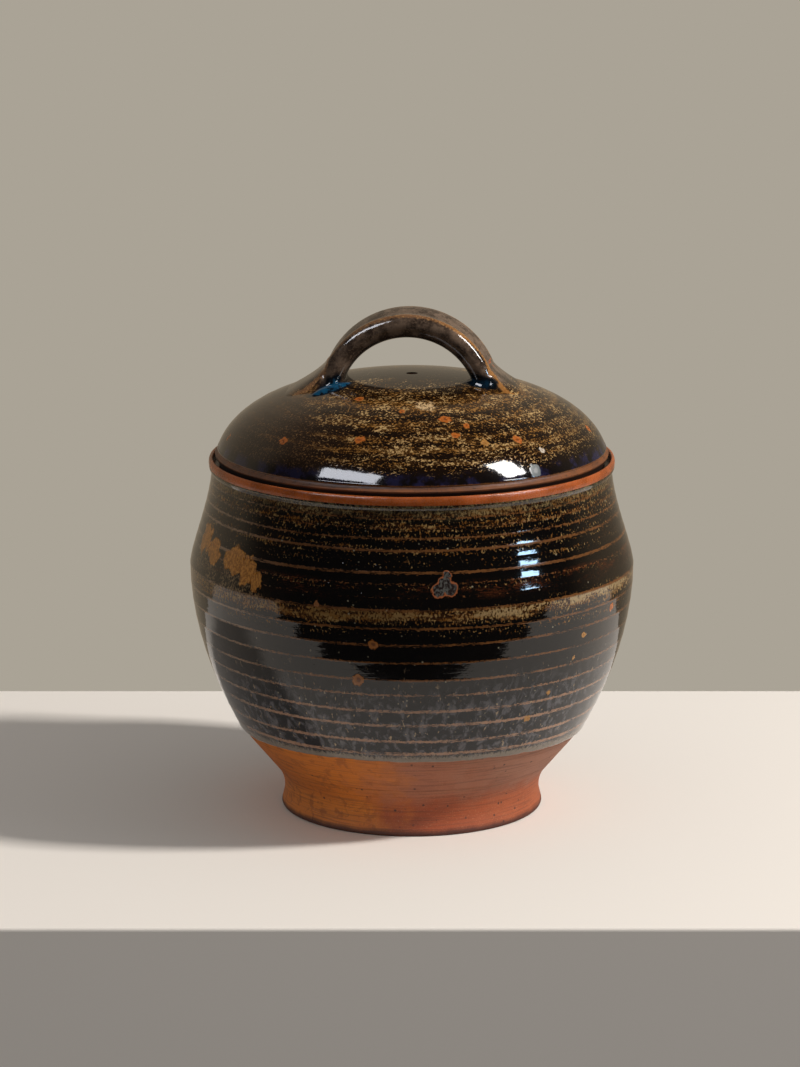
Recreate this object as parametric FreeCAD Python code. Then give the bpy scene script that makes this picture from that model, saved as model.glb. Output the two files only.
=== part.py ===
import FreeCAD, Part
import math
import os

# A stoneware bean pot with a loose domed lid. Millimetres, +Z up. The pot's axis is the Z axis
# and it stands on z = 0. The handle arches along X, so the pot is seen from the front along +Y.
# Outlines are drawn in the XZ half plane (x is the radius) and turned round the axis.

# Foot, a separate clay ring luted under the vessel
foot_radius = 62.2
foot_bevel = 0.9
waist_radius = 60.8
waist_height = 8.4
waist_arc_radius = 18.0
foot_flare_fullness = 2.8
facet_angle = 39.9
foot_joint_height = 24.0
foot_inner_radius = 54.0
foot_recess_radius = 51.0
foot_recess_height = 11.0

# Vessel wall, clay surface
facet_top_height = 36.4
belly_radius = 103.95
belly_height = 117.3
lower_belly_fullness = 41.0
upper_belly_fullness = 7.2
neck_radius = 93.4
neck_height = 162.0
neck_lean = 3.5
neck_fullness = 16.0
facet_round = 3.5

# Vessel inside
wall_thickness = 6.0
floor_thickness = 8.0
floor_flat_radius = 44.0
floor_round = 18.0
inner_belly_fullness = 52.0
inner_neck_drop = 12.0
inner_neck_thickness = 6.4
inner_neck_lean = 14.0
inner_neck_fullness = 12.0

# Throwing rings on the glazed wall, wider apart low down
ring_pitch_low = 8.6
ring_pitch_high = 5.8

# Rolled rim and the gallery that the lid sits in
bead_radius = 95.6
bead_height = 6.2
rim_edge_round = 1.0
rim_edge_bulge = 0.2
gallery_depth = 3.6
gallery_clearance = 0.7
ledge_radius = 85.0
ledge_depth = 6.0
ledge_bevel = 0.8

# Lid, clay surface
lid_radius = 92.7
lid_spring_drop = 3.0
lid_rise = 42.0
lid_crown_fullness = 48.0
lid_side_fullness = 32.7
lid_thickness = 5.5
lid_inner_crown_fullness = 50.0
lid_inner_side_radius = 88.0
lid_inner_side_rise = 21.4
vent_radius = 2.0
vent_lip = 1.0
flange_clearance = 1.0
flange_thickness = 4.0
flange_depth = 9.0
flange_bevel = 1.2

# Glaze coats
glaze_low_height = 44.0
glaze_on_crest = 0.95
glaze_in_hollow = 0.7
liner_glaze = 0.4
lid_glaze = 0.45
lid_glaze_margin = 5.0
lid_liner_margin = 3.4
handle_glaze = 0.4

# Handle, a pulled strap bent into an arch and pressed on to the lid
handle_offset = -1.4
handle_yaw = -4.0
arch_radius = 37.1
arch_centre_depth = 10.0
strap_width = 29.4
strap_root_width = 33.0
strap_top_thickness = 11.0
strap_side_thickness = 9.7
thumb_groove_depth = 1.8
root_reach = 62.8
root_width = 48.0
root_hollow = 1.35
root_tip_width = 25.0
root_tip_depth = 3.0
root_bite = 2.0
root_burial = 1.0
root_climb = 9.5

# How finely the lofted clay follows its curves
strap_stations = 12
wad_stations = 6
wad_section_points = 12
halvings = 60

Vector = FreeCAD.Vector
up = Vector(0, 0, 1)
origin = Vector(0, 0, 0)

# Levels that follow from the neck upwards
rim_height = neck_height + bead_height
seat_height = rim_height - gallery_depth
inner_neck_height = neck_height - inner_neck_drop
lid_crown_height = seat_height + lid_rise
lid_inner_side_height = seat_height + lid_inner_side_rise
lid_glaze_low_height = seat_height + lid_glaze_margin
lid_liner_low_height = seat_height + lid_liner_margin


def point(radius, height):
    return Vector(radius, 0, height)


def line(start, end):
    return Part.makeLine(start, end)


def arc(start, through, end):
    return Part.Arc(start, through, end).toShape()


def cubic(start, first, second, end):
    curve = Part.BezierCurve()
    curve.setPoles([start, first, second, end])
    return curve.toBSpline()


def bow(start, middle, end):
    """Parabola through three points."""
    curve = Part.BezierCurve()
    curve.setPoles([start, middle * 2 - (start + end) / 2, end])
    return curve.toShape()


def by_height(place):
    return place.z


def by_radius(place):
    return place.x


def parameter_at(curve, measure, target):
    """Parameter where a curve that runs one way reaches a height or a radius."""
    low, high = curve.FirstParameter, curve.LastParameter
    rising = measure(curve.value(high)) > measure(curve.value(low))
    for _ in range(halvings):
        middle = (low + high) / 2
        if (measure(curve.value(middle)) < target) == rising:
            low = middle
        else:
            high = middle
    return (low + high) / 2


def stretch(curve, start, end):
    return curve.toShape(start, end)


def turned(edges):
    """Solid of revolution of a closed outline."""
    face = Part.Face(Part.Wire(Part.__sortEdges__(edges)))
    solid = face.revolve(origin, up, 360)
    if solid.Volume < 0:
        solid.reverse()
    return solid


# Outer outline of the vessel and its foot

facet_slope = math.radians(facet_angle)
waist_end = point(
    waist_radius + waist_arc_radius * (1 - math.cos(facet_slope)),
    waist_height + waist_arc_radius * math.sin(facet_slope),
)


def on_facet(height):
    return point(waist_end.x + (height - waist_end.z) * math.tan(facet_slope), height)


facet_top = on_facet(facet_top_height)
joint_outside = on_facet(foot_joint_height)
joint_inside = point(foot_recess_radius, foot_recess_height)


def wall_curves():
    """Clay surface from the top of the trimmed facet to the belly, and from there to the neck."""
    along_facet = point(math.sin(facet_slope), math.cos(facet_slope))
    lean = math.radians(neck_lean)
    along_neck = point(-math.sin(lean), math.cos(lean))
    belly = point(belly_radius, belly_height)
    neck = point(neck_radius, neck_height)
    lower = cubic(facet_top, facet_top + along_facet * facet_round, belly - up * lower_belly_fullness, belly)
    upper = cubic(belly, belly + up * upper_belly_fullness, neck - along_neck * neck_fullness, neck)
    return lower, upper


lower_wall, upper_wall = wall_curves()
wall = lower_wall.copy()
wall.join(upper_wall)


def outward(curve, place):
    along = curve.tangent(place)[0]
    return Vector(along.z, 0, -along.x)


def ring_marks():
    """Parameters of the ring crests on the glazed wall, from its low edge to the neck."""
    low = parameter_at(wall, by_height, glaze_low_height)
    glazed = wall.length(low, wall.LastParameter)
    steps = []
    covered = 0.0
    while covered < glazed - ring_pitch_high / 2:
        steps.append(covered)
        covered += ring_pitch_low + (ring_pitch_high - ring_pitch_low) * covered / glazed
    fit = glazed / covered
    crests = [wall.parameterAtDistance(step * fit, low) if step else low for step in steps]
    return crests + [wall.LastParameter]


def over_wall(place, cover):
    return wall.value(place) + outward(wall, place) * cover


def ringed_surface(crests):
    """Chain of hollows from crest to crest, standing off the clay by the glaze's cover."""
    widest = max(wall.length(low, high) for low, high in zip(crests, crests[1:]))
    edges = []
    for low, high in zip(crests, crests[1:]):
        pitch = wall.length(low, high)
        middle = wall.parameterAtDistance(pitch / 2, low)
        cover = glaze_on_crest - (glaze_on_crest - glaze_in_hollow) * pitch / widest
        low_crest, high_crest = over_wall(low, glaze_on_crest), over_wall(high, glaze_on_crest)
        edges.append(bow(low_crest, over_wall(middle, cover), high_crest))
    return edges


crests = ring_marks()

# Inner outline of the vessel

floor_height = foot_recess_height + floor_thickness
gallery_radius = lid_radius + gallery_clearance
inner_neck_radius = wall.value(parameter_at(wall, by_height, inner_neck_height)).x - inner_neck_thickness


def inner_wall(inset):
    """Edges of the inside from the neck down to the middle of the floor."""
    lean = math.radians(inner_neck_lean)
    along_neck = point(-math.sin(lean), math.cos(lean))
    neck = point(inner_neck_radius - inset, inner_neck_height)
    belly = point(belly_radius - wall_thickness - inset, belly_height)
    corner = point(floor_flat_radius, floor_height + inset)
    upper = cubic(neck, neck - along_neck * inner_neck_fullness, belly + up * inner_neck_fullness, belly)
    lower = cubic(belly, belly - up * inner_belly_fullness, corner + Vector(floor_round, 0, 0), corner)
    return [upper.toShape(), lower.toShape(), line(corner, point(0, floor_height + inset))]


def pot_body():
    neck = point(neck_radius, neck_height)
    bead_middle = point(bead_radius, (neck_height + rim_height) / 2)
    rim_top = point((bead_radius + gallery_radius) / 2, rim_height)
    rim_inside = point(gallery_radius, rim_height - rim_edge_round)
    rim_corner = (rim_top + rim_inside) / 2 + up * rim_edge_bulge
    seat_outside = point(gallery_radius, seat_height)
    seat_inside = point(ledge_radius + ledge_bevel, seat_height)
    ledge_edge = point(ledge_radius, seat_height - ledge_bevel)
    ledge_foot = point(ledge_radius, seat_height - ledge_depth)
    inner_neck = point(inner_neck_radius, inner_neck_height)
    centre_low = point(0, foot_recess_height)
    edges = [
        line(centre_low, joint_inside),
        line(joint_inside, joint_outside),
        line(joint_outside, facet_top),
        lower_wall.toShape(),
        upper_wall.toShape(),
        arc(neck, bead_middle, rim_top),
        arc(rim_top, rim_corner, rim_inside),
        line(rim_inside, seat_outside),
        line(seat_outside, seat_inside),
        line(seat_inside, ledge_edge),
        line(ledge_edge, ledge_foot),
        line(ledge_foot, inner_neck),
    ]
    edges += inner_wall(0)
    edges.append(line(point(0, floor_height), centre_low))
    return turned(edges)


def foot_ring():
    outer_low = point(foot_radius - foot_bevel, 0)
    outer_edge = point(foot_radius, foot_bevel)
    waist = point(waist_radius, waist_height)
    half_turn = facet_slope / 2
    waist_middle = point(
        waist_radius + waist_arc_radius * (1 - math.cos(half_turn)),
        waist_height + waist_arc_radius * math.sin(half_turn),
    )
    flare = cubic(outer_edge, outer_edge + up * foot_bevel, waist - up * foot_flare_fullness, waist)
    inner_low = point(foot_inner_radius + foot_bevel, 0)
    inner_edge = point(foot_inner_radius, foot_bevel)
    return turned([
        line(inner_low, outer_low),
        line(outer_low, outer_edge),
        flare.toShape(),
        arc(waist, waist_middle, waist_end),
        line(waist_end, joint_outside),
        line(joint_outside, joint_inside),
        line(joint_inside, inner_edge),
        line(inner_edge, inner_low),
    ])


def clay_under_rings():
    """The glazed part of the wall in stretches from crest to crest, with a seam at the belly."""
    heights = sorted([wall.value(place).z for place in crests] + [belly_height])
    edges = []
    for low, high in zip(heights, heights[1:]):
        curve = lower_wall if high <= belly_height else upper_wall
        start, end = parameter_at(curve, by_height, low), parameter_at(curve, by_height, high)
        edges.append(stretch(curve, start, end))
    return edges


def pot_glaze():
    ends = [line(wall.value(place), over_wall(place, glaze_on_crest)) for place in (crests[0], crests[-1])]
    return turned(clay_under_rings() + ringed_surface(crests) + ends)


def pot_liner():
    neck = point(inner_neck_radius, inner_neck_height)
    floor_middle = point(0, floor_height)
    ends = [line(neck, neck - point(liner_glaze, 0)), line(floor_middle, floor_middle + up * liner_glaze)]
    return turned(inner_wall(0) + inner_wall(liner_glaze) + ends)


# Lid

flange_radius = ledge_radius - flange_clearance
flange_inner_radius = flange_radius - flange_thickness


def lid_outer(cover):
    """Dome from the crown to where its curve springs, just under the seat."""
    crown = lid_crown_height + cover
    side = lid_radius + cover
    spring = seat_height - lid_spring_drop
    return cubic(point(0, crown), point(lid_crown_fullness, crown), point(side, spring + lid_side_fullness),
                 point(side, spring))


def lid_inner(inset):
    crown = lid_crown_height - lid_thickness - inset
    return cubic(point(0, crown), point(lid_inner_crown_fullness, crown),
                 point(lid_inner_side_radius - inset, lid_inner_side_height),
                 point(flange_inner_radius - inset, seat_height))


def dome_stretch(curve, inner_radius, low_height):
    start = parameter_at(curve, by_radius, inner_radius)
    end = parameter_at(curve, by_height, low_height)
    return stretch(curve, start, end), curve.value(start), curve.value(end)


def lid_shell():
    outside, lip_outside, edge_low = dome_stretch(lid_outer(0), vent_radius + vent_lip, seat_height)
    inside, vent_low, spring_low = dome_stretch(lid_inner(0), vent_radius, seat_height)
    vent_high = point(vent_radius, lip_outside.z - vent_lip)
    turn_in = vent_lip * (1 - math.cos(math.pi / 4))
    lip_middle = point(vent_radius + turn_in, lip_outside.z - turn_in)
    return turned([
        arc(vent_high, lip_middle, lip_outside),
        outside,
        line(edge_low, spring_low),
        inside,
        line(vent_low, vent_high),
    ])


def dome_fill():
    """Everything under the dome's clay surface, to end the handle on it."""
    outside, crown, edge_low = dome_stretch(lid_outer(0), 0, seat_height)
    return turned([outside, line(edge_low, point(0, seat_height)), line(point(0, seat_height), crown)])


def lid_flange():
    low = seat_height - flange_depth
    corners = [
        point(flange_inner_radius, seat_height),
        point(flange_radius, seat_height),
        point(flange_radius, low + flange_bevel),
        point(flange_radius - flange_bevel, low),
        point(flange_inner_radius + flange_bevel, low),
        point(flange_inner_radius, low + flange_bevel),
    ]
    return turned([line(a, b) for a, b in zip(corners, corners[1:] + corners[:1])])


def coat(clay, surface, inner_radius, low_height):
    """Thin layer between a clay curve and its glazed surface."""
    clay_side, clay_top, clay_low = dome_stretch(clay, inner_radius, low_height)
    glaze_side, glaze_top, glaze_low = dome_stretch(surface, inner_radius, low_height)
    return turned([clay_side, glaze_side, line(clay_top, glaze_top), line(clay_low, glaze_low)])


# Handle

def dome_height(radius):
    dome = lid_outer(0)
    return dome.value(parameter_at(dome, by_radius, radius)).z


arch_centre_height = dome_height(arch_radius) - arch_centre_depth
root_low_height = dome_height(root_reach + abs(handle_offset)) - root_burial
root_high_height = dome_height(arch_radius) + root_climb

# Half of the strap's section, from the middle of its underside round to the thumb groove:
# shares of half the width (across) and of half the thickness (outwards).
strap_outline = [(0.0, -1.0), (0.5, -0.95), (0.86, -0.62), (1.0, 0.05), (0.9, 0.75), (0.72, 1.0), (0.4, 0.86)]


def closed_curve(places):
    curve = Part.BSplineCurve()
    curve.interpolate(places, PeriodicFlag=True)
    return Part.Wire(curve.toShape())


def strap_section(turn, cover):
    """Section of the strap at an angle round the arch: two ridges with a thumb groove between."""
    lift = math.sin(turn) ** 2
    half_width = (strap_root_width + (strap_width - strap_root_width) * math.sin(turn)) / 2 + cover
    half_thickness = (strap_side_thickness + (strap_top_thickness - strap_side_thickness) * lift) / 2 + cover
    groove = (0.0, 1 - thumb_groove_depth / half_thickness)
    mirrored = [(-across, out) for across, out in reversed(strap_outline[1:])]
    out_way = Vector(-math.cos(turn), 0, math.sin(turn))
    middle = Vector(0, 0, arch_centre_height) + out_way * arch_radius
    return closed_curve([
        middle + Vector(0, across * half_width, 0) + out_way * out * half_thickness
        for across, out in strap_outline + [groove] + mirrored
    ])


def placed_on_lid(solid):
    solid.rotate(origin, up, handle_yaw)
    solid.translate(Vector(handle_offset, 0, 0))
    return solid


def strap(cover):
    turns = [math.pi * number / strap_stations for number in range(strap_stations + 1)]
    sections = [strap_section(turn, cover) for turn in turns]
    return placed_on_lid(Part.makeLoft(sections, True, False))


def root_wad(side, cover):
    """Clay pressed over the foot of the strap: a fan that narrows up the strap's outer side."""
    sections = []
    for number in range(wad_stations):
        climb = number / (wad_stations - 1)
        spread = (1 - climb) ** root_hollow
        inside = arch_radius - root_bite
        outside = inside + root_tip_depth + (root_reach - inside - root_tip_depth) * spread + cover
        half_depth = (outside - inside) / 2
        half_width = (root_tip_width + (root_width - root_tip_width) * spread) / 2 + cover
        height = root_low_height + (root_high_height - root_low_height) * climb
        middle = Vector(side * (inside + outside) / 2, 0, height)
        turns = [2 * math.pi * step / wad_section_points for step in range(wad_section_points)]
        sections.append(closed_curve([
            middle + Vector(half_depth * math.cos(turn), half_width * math.sin(turn), 0) for turn in turns
        ]))
    return placed_on_lid(Part.makeLoft(sections, True, False))


under_dome = dome_fill()
strap_clay = strap(0)
strap_surface = strap(handle_glaze)
wads_clay = {"left": root_wad(-1, 0), "right": root_wad(1, 0)}
wads_surface = [root_wad(-1, handle_glaze), root_wad(1, handle_glaze)]


def glaze_on_lid():
    layer = coat(lid_outer(0), lid_outer(lid_glaze), vent_radius + vent_lip, lid_glaze_low_height)
    return layer.cut([strap_surface] + wads_surface)


def glaze_on_handle():
    covered = strap_surface.fuse(wads_surface)
    return covered.cut([under_dome, strap_clay] + list(wads_clay.values()))


nodes = {
    "foot_ring": foot_ring(),
    "pot_body": pot_body(),
    "pot_glaze": pot_glaze(),
    "pot_liner": pot_liner(),
    "lid_shell": lid_shell(),
    "lid_flange": lid_flange(),
    "lid_glaze": glaze_on_lid(),
    "lid_liner": coat(lid_inner(0), lid_inner(liner_glaze), vent_radius, lid_liner_low_height),
    "handle_strap": strap_clay.cut(under_dome),
    "handle_glaze": glaze_on_handle(),
}
for side, wad in wads_clay.items():
    nodes["handle_root_" + side] = wad.cut([under_dome, strap_clay])

os.makedirs("parts", exist_ok=True)
for name, shape in nodes.items():
    shape.exportStep("parts/" + name + ".step")
    print(name, "solids", len(shape.Solids), "volume", round(shape.Volume), "valid", shape.isValid())
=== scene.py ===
import math

import bmesh
import bpy
import numpy as np
from mathutils import Matrix, Vector, noise


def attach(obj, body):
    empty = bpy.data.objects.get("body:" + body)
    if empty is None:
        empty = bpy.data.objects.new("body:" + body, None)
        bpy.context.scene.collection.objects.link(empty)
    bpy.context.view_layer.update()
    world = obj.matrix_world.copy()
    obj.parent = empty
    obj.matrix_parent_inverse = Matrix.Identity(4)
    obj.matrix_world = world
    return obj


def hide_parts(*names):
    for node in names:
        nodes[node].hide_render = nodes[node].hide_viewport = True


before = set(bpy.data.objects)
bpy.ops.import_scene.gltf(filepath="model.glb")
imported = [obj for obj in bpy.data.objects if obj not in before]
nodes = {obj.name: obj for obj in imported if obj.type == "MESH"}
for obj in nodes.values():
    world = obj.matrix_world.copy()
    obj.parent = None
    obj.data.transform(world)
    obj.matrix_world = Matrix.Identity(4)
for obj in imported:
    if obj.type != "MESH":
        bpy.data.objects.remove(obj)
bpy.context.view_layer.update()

# A stoneware bean pot with a loose domed lid. Shapes below are worked out in millimetres of radius
# and height, and become metres when they are turned into meshes.

mm = 0.001


# Outlines

def bezier(start, first, second, end, count=40):
    marks = np.linspace(0, 1, count)[:, None]
    poles = [np.array(pole, float) for pole in (start, first, second, end)]
    return (poles[0] * (1 - marks) ** 3 + poles[1] * 3 * (1 - marks) ** 2 * marks
            + poles[2] * 3 * (1 - marks) * marks ** 2 + poles[3] * marks ** 3)


def arcPoints(centre, radius, startAngle, endAngle, count):
    turns = np.radians(np.linspace(startAngle, endAngle, count))
    return np.array(centre) + radius * np.stack([np.cos(turns), np.sin(turns)], 1)


def alongCurve(curve, heights):
    # radius and outward direction of a curve at some heights, the curve's height running one way
    order = np.argsort(curve[:, 1])
    radius, height = curve[order, 0], curve[order, 1]
    found = np.interp(heights, height, radius)
    lean = np.interp(heights, height, np.gradient(radius, height))
    outward = np.stack([np.ones_like(lean), -lean], 1) / np.sqrt(1 + lean ** 2)[:, None]
    return np.stack([found, heights], 1), outward


def covered(curve, heights, cover):
    points, outward = alongCurve(curve, heights)
    return points + outward * np.asarray(cover)[:, None]


# Meshes

def spun(outline, segments):
    # closed outline turned round the pot's axis
    mesh = bmesh.new()
    corners = [mesh.verts.new((max(radius, 0) * mm, 0, height * mm)) for radius, height in outline]
    edges = [mesh.edges.new(pair) for pair in zip(corners, corners[1:] + corners[:1])]
    bmesh.ops.spin(mesh, geom=corners + edges, cent=(0, 0, 0), axis=(0, 0, 1), angle=2 * math.pi,
                   steps=segments, use_merge=True)
    bmesh.ops.remove_doubles(mesh, verts=mesh.verts[:], dist=0.002 * mm)
    alone = [edge for edge in mesh.edges if not edge.link_faces]
    bmesh.ops.delete(mesh, geom=alone, context="EDGES")
    bmesh.ops.recalc_face_normals(mesh, faces=mesh.faces[:])
    return mesh


def outOfRound(place):
    # how far the hand-thrown clay stands in from a true circle, one field for all pieces
    radius = math.hypot(place.x, place.y)
    if radius < 1 * mm:
        return 0.0
    around = Vector((place.x / radius, place.y / radius, place.z * 9))
    share = 0.5 + 0.5 * noise.noise(around * 1.1)
    return 0.5 * mm * share * min(1, radius / (60 * mm))


def pressIn(mesh):
    for vertex in mesh.verts:
        radius = math.hypot(vertex.co.x, vertex.co.y)
        if radius > 1 * mm:
            shrink = 1 - outOfRound(vertex.co) / radius
            vertex.co.x *= shrink
            vertex.co.y *= shrink


def added(name, data):
    made = bpy.data.objects.new(name, data)
    bpy.context.scene.collection.objects.link(made)
    return made


def meshData(mesh, name):
    data = bpy.data.meshes.new(name)
    mesh.to_mesh(data)
    mesh.free()
    return data


def finished(mesh, name, body, material, stands, sharp=35):
    placed(meshData(mesh, name), name, body, material, stands, sharp)


def placed(data, name, body, material, stands, sharp):
    data.name = name
    data.shade_smooth()
    data.set_sharp_from_angle(angle=math.radians(sharp))
    data.materials.clear()
    data.materials.append(material)
    piece = added(name, data)
    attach(piece, body)
    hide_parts(*stands)
    print(name, "faces", len(data.polygons))


# Shader maths

class Signal:
    # a socket that can stand in a sum
    def __init__(self, tree, socket):
        self.tree = tree
        self.socket = socket

    def math(self, operation, first, second):
        return self.tree.add("ShaderNodeMath", {"operation": operation}, {0: first, 1: second})

    def __add__(self, other):
        return self.math("ADD", self, other)

    def __sub__(self, other):
        return self.math("SUBTRACT", self, other)

    def __rsub__(self, other):
        return self.math("SUBTRACT", other, self)

    def __mul__(self, other):
        return self.math("MULTIPLY", self, other)

    __radd__ = __add__
    __rmul__ = __mul__


class Tree:
    # one node tree and the ways to fill it; places are in millimetres of the pot's own frame
    def __init__(self, data):
        self.data = data
        data.nodes.clear()

    def add(self, kind, settings=None, sockets=None, output=0):
        node = self.data.nodes.new(kind)
        for name, value in (settings or {}).items():
            if name == "stops":
                self.setStops(node.color_ramp, value)
            else:
                setattr(node, name, value)
        for name, value in (sockets or {}).items():
            if isinstance(value, Signal):
                self.data.links.new(value.socket, node.inputs[name])
            else:
                node.inputs[name].default_value = value
        return Signal(self, node.outputs[output])

    def setStops(self, ramp, stops):
        while len(ramp.elements) < len(stops):
            ramp.elements.new(1)
        for element, (position, colour) in zip(ramp.elements, stops):
            element.position = position
            element.color = colour

    def place(self):
        here = self.add("ShaderNodeTexCoord", output=3)
        return self.add("ShaderNodeVectorMath", {"operation": "SCALE"}, {0: here, 3: 1 / mm})

    def stretched(self, place, scale):
        return self.add("ShaderNodeMapping", {}, {"Vector": place, "Scale": scale})

    def cloud(self, place, size, detail, rough, warp=0.0):
        # soft noise from 0 to 1 whose blobs are about size millimetres
        return self.add("ShaderNodeTexNoise", {}, {
            "Vector": place, "Scale": 1 / size, "Detail": detail, "Roughness": rough, "Distortion": warp})

    def cells(self, place, size):
        return self.add("ShaderNodeTexVoronoi", {}, {"Vector": place, "Scale": 1 / size})

    def rise(self, value, low, high):
        # 0 below low, 1 above high, smooth in between; low above high falls instead
        return self.add("ShaderNodeMapRange", {"interpolation_type": "SMOOTHSTEP"}, {
            "Value": value, "From Min": low, "From Max": high})

    def levels(self, value, steps):
        # a value that follows a few marks, given as (where, how much)
        low, high = steps[0][0], steps[-1][0]
        share = self.add("ShaderNodeMapRange", {}, {"Value": value, "From Min": low, "From Max": high})
        stops = [((mark - low) / (high - low), (level, level, level, 1)) for mark, level in steps]
        return self.add("ShaderNodeValToRGB", {"stops": stops}, {"Fac": share})

    def blend(self, share, first, second):
        return self.add("ShaderNodeMix", {"data_type": "RGBA"}, {0: share, 6: first, 7: second}, 2)

    def graded(self, value, low, high, first, second):
        return self.blend(self.rise(value, low, high), first, second)

    def layers(self, colour, steps):
        # colours laid one over another, each given as (share, colour)
        for share, over in steps:
            colour = self.blend(share, colour, over)
        return colour

    def largest(self, values):
        whole, *others = values
        for value in others:
            whole = self.add("ShaderNodeMath", {"operation": "MAXIMUM"}, {0: whole, 1: value})
        return whole

    def part(self, place, axis):
        return self.add("ShaderNodeSeparateXYZ", {}, {0: place}, axis)

    def attribute(self, name):
        return self.add("ShaderNodeAttribute", {"attribute_name": name}, output=2)

    def distance(self, place, centre):
        return self.add("ShaderNodeVectorMath", {"operation": "DISTANCE"}, {0: place, 1: centre}, 1)

    def near(self, place, centre, start, end):
        return self.rise(self.distance(place, centre), start, end)

    def shaken(self, place, size, reach):
        # the same place moved about by noise, which makes round marks ragged
        swirl = self.add("ShaderNodeTexNoise", {}, {"Vector": place, "Scale": 1 / size, "Detail": 3}, 1)
        pushed = self.add("ShaderNodeVectorMath", {"operation": "MULTIPLY_ADD"}, {
            0: swirl, 1: (2 * reach,) * 3, 2: place})
        return self.add("ShaderNodeVectorMath", {"operation": "SUBTRACT"}, {0: pushed, 1: (reach,) * 3})

    def bumped(self, height, strength, reach):
        return self.add("ShaderNodeBump", {}, {
            "Height": height, "Strength": strength, "Distance": reach * mm})

    def shade(self, **sockets):
        named = {name.replace("_", " "): value for name, value in sockets.items()}
        return self.add("ShaderNodeBsdfPrincipled", {}, named)

    def finish(self, shader, kind="ShaderNodeOutputMaterial"):
        node = self.data.nodes.new(kind)
        self.data.links.new(shader.socket, node.inputs[0])


def material(name, paint):
    made = bpy.data.materials.new(name)
    made.use_nodes = True
    tree = Tree(made.node_tree)
    tree.finish(paint(tree))
    return made


def tone(red, green, blue):
    # a colour as read off a screen, made linear
    def linear(level):
        level /= 255
        return level / 12.92 if level <= 0.04045 else ((level + 0.055) / 1.055) ** 2.4
    return (linear(red), linear(green), linear(blue), 1)


# The vessel

wall = {
    "footRadius": 62.2, "footBevel": 0.9, "waistRadius": 60.8, "waistHeight": 8.4, "waistArc": 18.0,
    "facetAngle": 39.9, "jointHeight": 24.0, "facetTop": 36.4, "bellyRadius": 103.95, "bellyHeight": 117.3,
    "lowerFullness": 41.0, "upperFullness": 7.2, "neckRadius": 93.4, "neckHeight": 162.0, "neckLean": 3.5,
    "neckFullness": 16.0, "facetRound": 3.5, "beadRadius": 95.6, "rimHeight": 168.2, "rimEdge": 1.1,
    "galleryRadius": 93.4, "seatHeight": 164.6, "ledgeRadius": 85.0, "ledgeBevel": 0.8, "ledgeDepth": 6.0,
    "innerNeckThickness": 6.4, "innerNeckHeight": 150.0, "thickness": 6.0, "floorHeight": 19.0,
    "floorFlat": 44.0, "recessHeight": 11.0, "recessRadius": 51.0, "footInner": 54.0, "liner": 0.4,
    "innerNeckLean": 2.9, "innerNeckFullness": 11.6, "innerUpperFullness": 12, "innerLowerFullness": 52,
    "floorReach": 62,
}

facetSlope = math.radians(wall["facetAngle"])
waistEnd = (wall["waistRadius"] + wall["waistArc"] * (1 - math.cos(facetSlope)),
            wall["waistHeight"] + wall["waistArc"] * math.sin(facetSlope))


def onFacet(height):
    return (waistEnd[0] + (height - waistEnd[1]) * math.tan(facetSlope), height)


def outerWall():
    start = onFacet(wall["facetTop"])
    bend = wall["facetRound"]
    ahead = (start[0] + bend * math.sin(facetSlope), start[1] + bend * math.cos(facetSlope))
    belly = (wall["bellyRadius"], wall["bellyHeight"])
    neck = (wall["neckRadius"], wall["neckHeight"])
    lean = math.radians(wall["neckLean"])
    below = (belly[0], belly[1] - wall["lowerFullness"])
    above = (belly[0], belly[1] + wall["upperFullness"])
    under = (neck[0] + wall["neckFullness"] * math.sin(lean), neck[1] - wall["neckFullness"] * math.cos(lean))
    upper = bezier(belly, above, under, neck, 120)
    return np.concatenate([bezier(start, ahead, below, belly, 200), upper[1:]])


wallCurve = outerWall()
beadCurve = bezier(
    (wall["neckRadius"], wall["neckHeight"]), (wall["beadRadius"] + 0.4, wall["neckHeight"] + 0.8),
    (wall["beadRadius"] + 0.3, wall["rimHeight"] - 0.2),
    (wall["galleryRadius"] + wall["rimEdge"], wall["rimHeight"]), 16)


def innerWall(inset=0.0):
    level = np.array([wall["innerNeckHeight"]])
    outside = alongCurve(wallCurve, level)[0][0, 0]
    neck = (outside - wall["innerNeckThickness"] - inset, wall["innerNeckHeight"])
    belly = (wall["bellyRadius"] - wall["thickness"] - inset, wall["bellyHeight"])
    corner = (wall["floorFlat"], wall["floorHeight"] + inset)
    under = (neck[0] + wall["innerNeckLean"], neck[1] - wall["innerNeckFullness"])
    upper = bezier(neck, under, (belly[0], belly[1] + wall["innerUpperFullness"]), belly, 16)
    below = (belly[0], belly[1] - wall["innerLowerFullness"])
    lower = bezier(belly, below, (wall["floorReach"], corner[1]), corner, 40)
    return np.concatenate([upper, lower[1:]])


def vesselOutline():
    centre = [(0, wall["recessHeight"]), (wall["recessRadius"], wall["recessHeight"])]
    facet = [onFacet(height) for height in np.linspace(wall["jointHeight"], wall["facetTop"], 8)]
    edge = wall["rimEdge"]
    seat = wall["seatHeight"]
    ledge = wall["ledgeRadius"]
    lip = arcPoints((wall["galleryRadius"] + edge, wall["rimHeight"] - edge), edge, 90, 180, 6)
    gallery = [(wall["galleryRadius"], seat + 0.7), (wall["galleryRadius"] - 0.7, seat),
               (ledge + wall["ledgeBevel"], seat), (ledge, seat - wall["ledgeBevel"]),
               (ledge, seat - wall["ledgeDepth"])]
    return np.concatenate([centre, facet, wallCurve[4::5], beadCurve, lip[1:], gallery, innerWall(),
                           [(0, wall["floorHeight"])]])


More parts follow.
